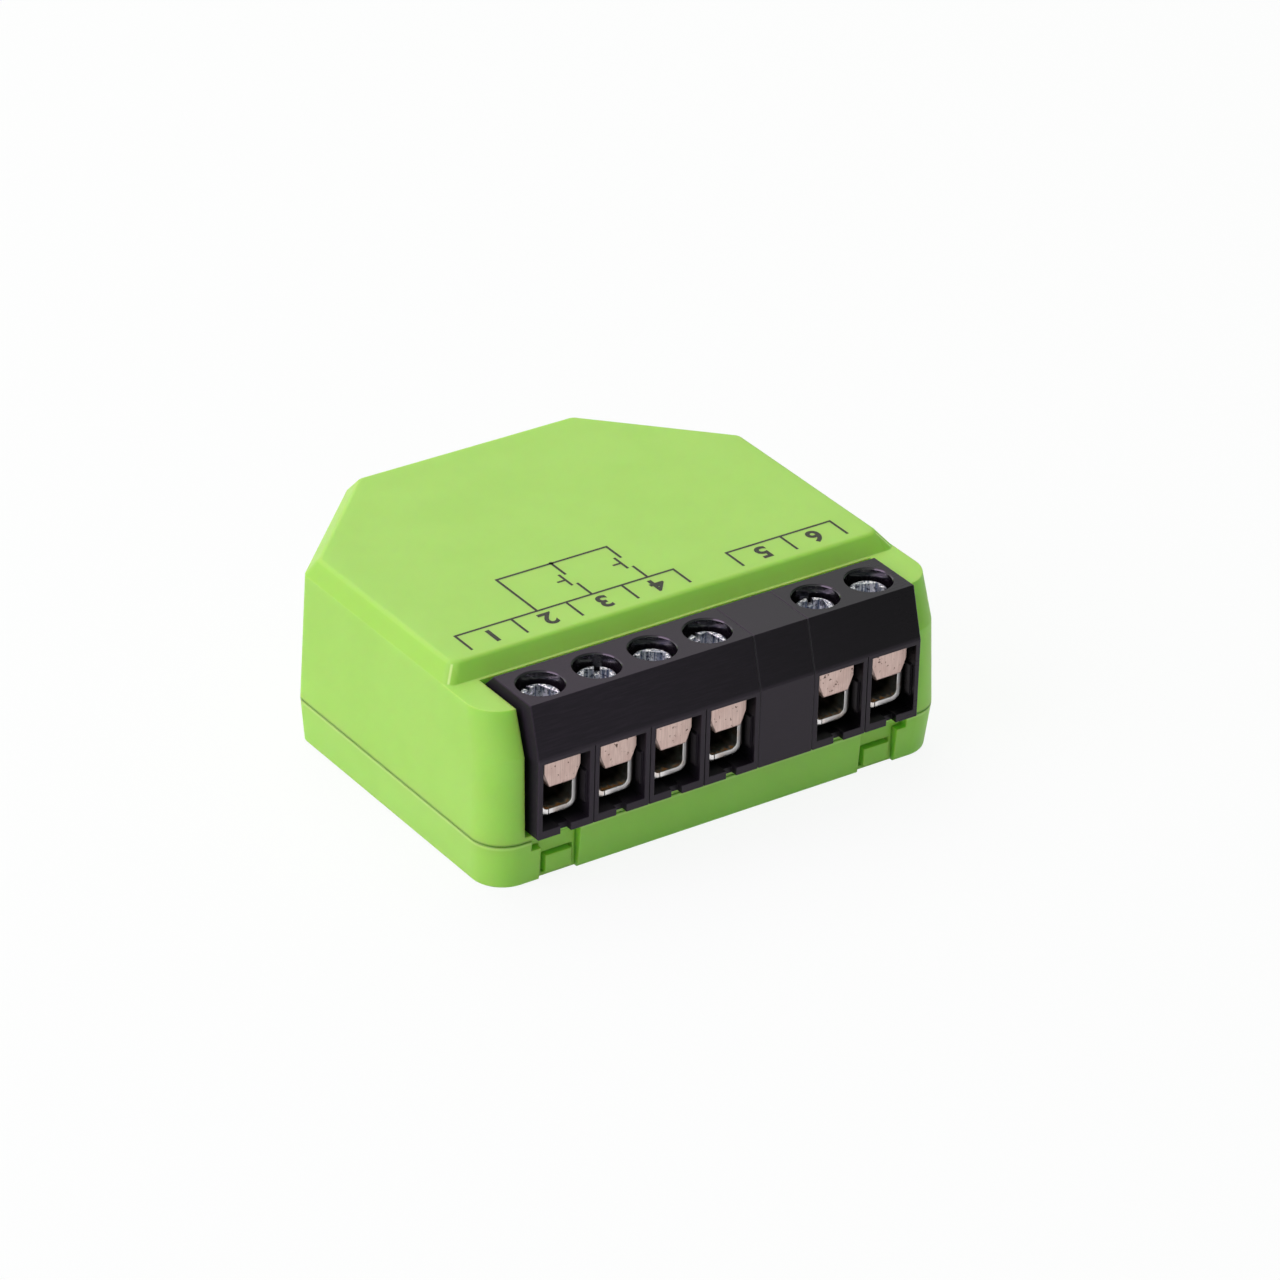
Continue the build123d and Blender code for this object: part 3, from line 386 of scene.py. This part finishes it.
def zinc_screw(name):
    """Bright zinc plate: turned rings on the head, sheared streaks down the socket, small dents."""
    finish = Finish(name, Metallic=1.0)
    place = finish.place()
    x, y = finish.parts(place)[:2]
    rounded = finish.rounded(0.08)
    rings = (screw_distance(x, y) * 44.0).wave() * 0.5 + 0.5
    streaks = finish.noise(finish.stretch(place, 1.0, 1.0, 0.08), 5.0)
    dents = finish.noise(place, 4.0, detail=4.0, roughness=0.65)
    plate = finish.mix(streaks.ramp(0.4, 0.6), rgb(255, 255, 255), rgb(132, 142, 160))
    plate = finish.mix(dents.ramp(0.5, 0.62) * 0.85, plate, rgb(58, 62, 74))
    # Painted highlight: the screw's edges white, where light catches them.
    plate = finish.mix(finish.edge(rounded) * 0.6, plate, rgb(255, 255, 255))
    finish.feed(
        Base_Color=plate,
        Roughness=0.24 + dents * 0.2,
        Normal=finish.bump(rings * 0.3 + streaks + dents, 0.9, 0.05, rounded),
    )
    return finish.material


def plated_cage(name):
    """Nickel plate on folded strip: bright at the mouth, grey on its outer faces, dark within.

    The grey of its outer faces and the dark within are painted shade. The floor of the window has a
    painted warm reflection that ends in a ragged line.
    """
    finish = Finish(name, Metallic=1.0)
    place = finish.place()
    x, y, z = finish.parts(place)
    rounded = finish.rounded(0.06)
    depth = y - cage_front_y
    brushed = finish.noise(finish.stretch(place, 5.0, 5.0, 0.5), 2.5)
    thin = finish.noise(place, 0.9).ramp(0.5, 0.7)
    plate = finish.mix(thin * 0.6, rgb(248, 244, 244), rgb(226, 204, 188))
    # Painted shade: the cage's outer border grey.
    shaded_outer_side = abs(x.wrap(-half_pole, half_pole)).ramp(1.5, 1.64)
    shaded_outer_foot = z.fall(cage_floor_z - 0.5, cage_floor_z - 0.36)
    plate = finish.mix(shaded_outer_side.most(shaded_outer_foot) * 0.85, plate, rgb(84, 74, 76))
    shear = finish.noise(finish.stretch(place, 1.0, 0.2, 1.0), 2.6)
    # Painted reflection: a warm glint on the window's floor that ends in a ragged line.
    warm = (z - cage_floor_z).line(0.04, 0.25) * depth.ramp(0.02, 0.15)
    warm = warm * (depth + shear * 1.6).fall(0.9, 1.4)
    # Painted shade: the cage darker deeper inside its window.
    plate = finish.mix(depth.ramp(0.5, 1.6) * 0.85, plate, rgb(58, 44, 42))
    plate = finish.mix(warm, plate, rgb(236, 156, 88))
    finish.feed(
        Base_Color=plate,
        Metallic=1 - warm * 0.75,
        Roughness=0.24 + brushed * 0.2,
        Normal=finish.bump(brushed + shear * 0.5, 0.5, 0.012, rounded),
    )
    return finish.material


def plated_contact(name):
    """Satin plate on copper strip: upright brushing, small dark pits and a rosy cast."""
    finish = Finish(name, Metallic=1.0)
    place = finish.place()
    rounded = finish.rounded(0.06)
    brushed = finish.noise(finish.stretch(place, 7.0, 7.0, 0.3), 1.6, detail=4.0, roughness=0.65)
    tone = finish.noise(place, 0.7, detail=2.0)
    plate = finish.mix(brushed.ramp(0.35, 0.65), rgb(198, 172, 165), rgb(216, 191, 184))
    plate = finish.mix(tone.ramp(0.45, 0.7) * 0.4, plate, rgb(188, 158, 151))
    pits = finish.noise(place, 3.4).ramp(0.64, 0.7)
    plate = finish.mix(pits * 0.85, plate, rgb(92, 70, 62))
    finish.feed(
        Base_Color=plate,
        Roughness=0.4 + brushed * 0.14 + pits * 0.2,
        Normal=finish.bump(brushed - pits, 0.5, 0.012, rounded),
    )
    return finish.material


# Materials inside the case

def speckled(name, base, other, grain_size, rough, depth):
    """A matt solid whose colour and relief follow one grain, as in fired, sintered or moulded parts."""
    finish = Finish(name)
    place = finish.place()
    rounded = finish.rounded(0.06)
    grain = finish.noise(place, 1 / grain_size, detail=4.0, roughness=0.6)
    body = finish.mix(grain.ramp(0.35, 0.65), base, other)
    finish.feed(
        Base_Color=finish.mix(finish.edge(rounded) * 0.3, body, other),
        Roughness=rough + grain * 0.12,
        Normal=finish.bump(grain, 0.4, depth, rounded),
    )
    return finish.material


def board_mask(name):
    """Green solder mask over glass cloth: the weave shows faintly through the gloss."""
    finish = Finish(name, Coat_Roughness=0.15)
    place = finish.place()
    x, y = finish.parts(place)[:2]
    weave = (x * 12.0).wave() * (y * 12.0).wave() * 0.5 + 0.5
    tracks = finish.cells(finish.stretch(place, 1.0, 1.0, 0.0), 0.6).ramp(0.28, 0.34)
    body = finish.mix(weave, rgb(16, 84, 42), rgb(22, 96, 50))
    body = finish.mix(tracks * 0.5, body, rgb(38, 122, 66))
    finish.feed(
        Base_Color=body,
        Roughness=0.3 + weave * 0.1,
        Coat_Weight=0.3 + tracks * 0.3,
        Normal=finish.bump(weave * 0.4 + tracks, 0.3, 0.01),
    )
    return finish.material


def winding_tape(name):
    """Yellow polyester tape wound in overlapping turns."""
    finish = Finish(name, Coat_Weight=0.4, Coat_Roughness=0.1)
    place = finish.place()
    x, _, z = finish.parts(place)
    turns = (z * 2.1 + x * 0.2).fraction()
    creases = finish.noise(place, 2.0, detail=4.0)
    body = finish.mix(turns.ramp(0.8, 1.0), rgb(214, 172, 40), rgb(150, 112, 20))
    finish.feed(
        Base_Color=finish.mix(creases.ramp(0.4, 0.7) * 0.4, body, rgb(232, 196, 80)),
        Roughness=0.2 + creases * 0.2,
        Normal=finish.bump(turns + creases * 0.3, 0.5, 0.02),
    )
    return finish.material


def brushed_metal(name, light, dark, stretch, rough):
    """Drawn or rolled metal with marks along one direction."""
    finish = Finish(name, Metallic=1.0)
    marks = finish.noise(finish.stretch(finish.place(), *stretch), 2.0, detail=4.0)
    finish.feed(
        Base_Color=finish.mix(marks.ramp(0.3, 0.7), light, dark),
        Roughness=rough + marks * 0.15,
        Normal=finish.bump(marks, 0.3, 0.006, finish.rounded(0.08)),
    )
    return finish.material


def dipped_coat(name, light, dark):
    """A dipped or lacquered coat that pools in soft ripples."""
    finish = Finish(name, Coat_Weight=0.5, Coat_Roughness=0.08)
    place = finish.place()
    ripples = finish.noise(place, 0.8, detail=2.0)
    specks = finish.noise(place, 9.0, detail=2.0).ramp(0.62, 0.7)
    finish.feed(
        Base_Color=finish.mix(specks * 0.3, finish.mix(ripples, light, dark), dark),
        Roughness=0.25 + ripples * 0.15,
        Normal=finish.bump(ripples, 0.5, 0.04),
    )
    return finish.material


def moulded_clear(name, tint, clear):
    """Light pipe or lens: smooth, with flow lines and a little haze."""
    finish = Finish(name, IOR=1.49, Transmission_Weight=clear)
    flow = finish.noise(finish.stretch(finish.place(), 3.0, 0.4, 3.0), 1.5)
    finish.feed(
        Base_Color=finish.mix(flow * 0.3, tint, rgb(255, 255, 255)),
        Roughness=0.08 + flow * 0.12,
        Normal=finish.bump(flow, 0.15, 0.01),
    )
    return finish.material


# For each slot, the function that makes its finish and what the function takes after the name
looks = {
    "housing_plastic": (moulded_green,),
    "button_plastic": (moulded_green,),
    "terminal_plastic": (moulded_black,),
    "zinc_plate": (zinc_screw,),
    "cage_plate": (plated_cage,),
    "contact_plate": (plated_contact,),
    "board_laminate": (board_mask,),
    "winding_tape": (winding_tape,),
    "ferrite": (speckled, rgb(52, 52, 56), rgb(70, 70, 74), 0.12, 0.6, 0.01),
    "bobbin_plastic": (speckled, rgb(38, 36, 36), rgb(52, 48, 46), 0.2, 0.45, 0.005),
    "chip_plastic": (speckled, rgb(34, 34, 36), rgb(48, 48, 50), 0.08, 0.5, 0.004),
    "optocoupler_plastic": (speckled, rgb(222, 222, 214), rgb(206, 204, 194), 0.1, 0.5, 0.004),
    "chip_ceramic": (speckled, rgb(176, 156, 132), rgb(150, 128, 104), 0.1, 0.45, 0.005),
    "header_plastic": (speckled, rgb(30, 30, 30), rgb(44, 44, 44), 0.15, 0.45, 0.004),
    "can_aluminium": (brushed_metal, rgb(226, 228, 230), rgb(198, 200, 204), (3, 3, 0.3), 0.3),
    "shield_plate": (brushed_metal, rgb(214, 214, 212), rgb(188, 188, 186), (0.3, 3, 3), 0.28),
    "pin_plate": (brushed_metal, rgb(232, 200, 120), rgb(206, 170, 92), (3, 3, 0.3), 0.22),
    "disc_coating": (dipped_coat, rgb(32, 84, 158), rgb(22, 60, 124)),
    "resistor_coating": (dipped_coat, rgb(132, 164, 138), rgb(104, 138, 112)),
    "light_plastic": (moulded_clear, rgb(232, 232, 224), 0.0),
    "guide_plastic": (moulded_clear, rgb(238, 242, 244), 0.8),
}
finishes = {slot: make(slot, *values) for slot, (make, *values) in looks.items()}
for row in frame["record"]["subparts"]:
    mesh = frame["nodes"][row["node"]].data
    mesh.materials.clear()
    mesh.materials.append(finishes[row["material_slot"]])


# Print on the roof

def printed_ink(name):
    """Dark grey pad-printed ink, a little uneven, that lets the plastic's grain through."""
    finish = Finish(name, Specular_IOR_Level=0.25)
    place = finish.place()
    cover = finish.noise(place, 5.0)
    grain = finish.noise(place, 12.0, detail=2.0)
    finish.feed(
        Base_Color=finish.mix(cover.ramp(0.35, 0.75), rgb(34, 38, 24), rgb(52, 58, 38)),
        Roughness=0.45 + cover * 0.15,
        Normal=finish.bump(grain, 0.2, 0.004),
    )
    return finish.material


def bar(mesh, low, high):
    """One straight stroke of ink between two corners on the roof, as a thin closed box."""
    size = Vector((high[0] - low[0], high[1] - low[1], ink_depth)) * MM
    centre = Vector(((low[0] + high[0]) / 2, (low[1] + high[1]) / 2, ink_middle_z)) * MM
    matrix = Matrix.Translation(centre) @ Matrix.Diagonal((*size, 1))
    bmesh.ops.create_cube(mesh, size=1, matrix=matrix)


def line_across(mesh, left, right, y):
    bar(mesh, (left - half_ink, y - half_ink), (right + half_ink, y + half_ink))


def line_down(mesh, x, top, foot):
    """A stroke that starts at the lower edge of a line across and ends at its foot."""
    bar(mesh, (x - half_ink, foot), (x + half_ink, top - half_ink))


def bracket(mesh, ticks):
    """The line over a group of terminals, with a tick at each side of each one."""
    line_across(mesh, ticks[0], ticks[-1], bracket_y)
    for x in ticks:
        line_down(mesh, x, bracket_y, bracket_y - tick_length)


def push_switch(mesh, x):
    """A push switch between the branch and one terminal: two leads, and the bar beside their gap."""
    line_down(mesh, x, branch_y, switch_top)
    line_down(mesh, x, switch_foot, bracket_y + half_ink)
    left = x - switch_gap - half_ink
    right = x - switch_gap + half_ink
    middle = (switch_top + switch_foot) / 2
    bar(mesh, (left, middle - switch_bar_half), (right, middle + switch_bar_half))
    bar(mesh, (left - switch_stem, middle - half_ink), (left, middle + half_ink))


def junction(mesh, x, y):
    """The round dot where two lines of the diagram are joined."""
    bmesh.ops.create_cone(
        mesh,
        cap_ends=True,
        segments=24,
        radius1=junction_radius * MM,
        radius2=junction_radius * MM,
        depth=ink_depth * MM,
        matrix=Matrix.Translation(Vector((x, y, ink_middle_z)) * MM),
    )


def number(mesh, text, x, y):
    """A plain number on the roof, read from the back of the module, turned from text into mesh."""
    words = bpy.data.curves.new("number_outline", "FONT")
    words.body = text
    words.size = number_size * MM
    words.align_x = "CENTER"
    words.align_y = "CENTER"
    words.extrude = ink_depth / 2 * MM
    words.offset = number_weight * MM
    words.resolution_u = 6
    holder = bpy.data.objects.new("number_outline", words)
    bpy.context.scene.collection.objects.link(holder)
    bpy.context.view_layer.update()
    solid = holder.evaluated_get(bpy.context.evaluated_depsgraph_get())
    outline = bpy.data.meshes.new_from_object(solid)
    centre = Vector((x, y, ink_middle_z)) * MM
    outline.transform(Matrix.Translation(centre) @ Matrix.Rotation(math.pi, 4, "Z"))
    mesh.from_mesh(outline)
    bpy.data.objects.remove(holder)
    bpy.data.curves.remove(words)
    bpy.data.meshes.remove(outline)


def terminal_print():
    """The brackets, the switch diagram and the terminals' numbers, as one film of ink."""
    mesh = bmesh.new()
    bracket(mesh, left_ticks)
    bracket(mesh, right_ticks)
    line_down(mesh, supply_x, branch_y, bracket_y + half_ink)
    line_across(mesh, supply_x, switch_xs[1], branch_y)
    for x in switch_xs:
        push_switch(mesh, x)
    junction(mesh, switch_xs[0], branch_y)
    for index, x in enumerate(number_xs):
        number(mesh, str(index + 1), x, number_y)
    bmesh.ops.remove_doubles(mesh, verts=mesh.verts, dist=1e-7)
    data = bpy.data.meshes.new("terminal_print")
    mesh.to_mesh(data)
    mesh.free()
    film = bpy.data.objects.new("terminal_print", data)
    bpy.context.scene.collection.objects.link(film)
    data.materials.append(printed_ink("print_ink"))
    return film


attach(terminal_print(), "root")


# Floor, light and camera

def studio_floor():
    """A plain pale floor that keeps the object's soft shadow.

    To the camera, and to mirrored rays near the module, it glows white. To all other rays it is paint.
    """
    bpy.ops.mesh.primitive_plane_add(size=floor_size)
    floor = bpy.context.object
    floor.name = "studio_floor"
    finish = Finish("floor_paint", Roughness=0.9)
    place = finish.place()
    shade = finish.noise(place, 0.01, detail=2.0)
    finish.feed(Base_Color=finish.mix(shade * 0.1, floor_colour, rgb(236, 236, 236)))
    glow = finish.node("ShaderNodeEmission", inputs={"Color": white, "Strength": 1.0})
    distance = finish.vector("DOT_PRODUCT", place, place, "Value") ** 0.5
    mirrored = finish.ray("Glossy") + finish.ray("Transmission")
    seen = finish.ray("Camera") + mirrored * distance.fall(*floor_mirror_fade)
    share = seen.least(1.0) * floor_glow
    painted = Wire(finish, finish.shader.outputs[0])
    surface = finish.node("ShaderNodeMixShader", inputs={0: share, 1: painted, 2: glow})
    finish.join(surface, finish.tree.nodes["Material Output"].inputs["Surface"])
    floor.data.materials.append(finish.material)


def sky():
    """A sky that is white to the camera and lights the module from its bright side.

    Its dim side has a green tint. Mirrored rays see the sky at full strength, but the dim side darker.
    """
    world = bpy.data.worlds.new("studio_sky")
    bpy.context.scene.world = world
    world.use_nodes = True
    nodes = Nodes(world.node_tree)
    direction = nodes.node("ShaderNodeTexCoord", output="Generated")
    bright_side = Vector(sky_bright_side).normalized()
    side = nodes.vector("DOT_PRODUCT", direction, bright_side, "Value").ramp(-1.0, 1.0)
    mirrored = (nodes.ray("Glossy") + nodes.ray("Transmission")).least(1.0)
    dim = sky_dim_level + mirrored * (sky_mirrored_dim_level - sky_dim_level)
    level = dim + side * (sky_bright_level - dim)
    level = level * (sky_strength + mirrored * (1 - sky_strength))
    seen = nodes.ray("Camera")
    tint = nodes.mix(side, sky_dim_colour, sky_bright_colour)
    background = world.node_tree.nodes["Background"]
    nodes.join(nodes.mix(seen, tint, white), background.inputs["Color"])
    nodes.join(level * (1 - seen) + seen, background.inputs["Strength"])


def lamp(name, place, width, power, colour):
    """A square soft box, in metres and watts, that faces the middle of the module."""
    light = bpy.data.lights.new(name, "AREA")
    light.size = width
    light.energy = power
    light.color = colour
    holder = bpy.data.objects.new(name, light)
    bpy.context.scene.collection.objects.link(holder)
    holder.location = place
    middle = (cad_box[0] + cad_box[1]) / 2
    holder.rotation_euler = (middle - Vector(place)).to_track_quat("-Z", "Y").to_euler()


def camera():
    """The photograph's camera: its directions follow from azimuth, elevation and roll."""
    azimuth = math.radians(camera_azimuth)
    elevation = math.radians(camera_elevation)
    roll = math.radians(camera_roll)
    flat = math.cos(elevation)
    back = Vector((math.sin(azimuth) * flat, -math.cos(azimuth) * flat, math.sin(elevation)))
    level = Vector((0, 0, 1)).cross(back).normalized()
    upright = back.cross(level)
    right = level * math.cos(roll) + upright * math.sin(roll)
    up = upright * math.cos(roll) - level * math.sin(roll)
    turn = Matrix((right, up, back)).transposed().to_4x4()
    data = bpy.data.cameras.new("camera")
    data.lens = camera_lens
    data.sensor_width = sensor_width
    data.clip_start = 0.01
    data.clip_end = 10
    holder = bpy.data.objects.new("camera", data)
    bpy.context.scene.collection.objects.link(holder)
    holder.matrix_world = Matrix.Translation(camera_place) @ turn
    bpy.context.scene.camera = holder


studio_floor()
sky()
lamp("key_light", place=(-0.55, 0.05, 0.45), width=0.5, power=2.9, colour=(0.92, 0.67, 1.0))
lamp("top_light", place=(0.05, 0.42, 0.72), width=0.6, power=2.6, colour=(1.0, 0.93, 0.86))
lamp("front_card", place=(-0.3, -0.55, 0.16), width=0.4, power=0.26, colour=(0.4, 1.0, 0.35))
camera()
bpy.context.scene.view_settings.view_transform = "Standard"
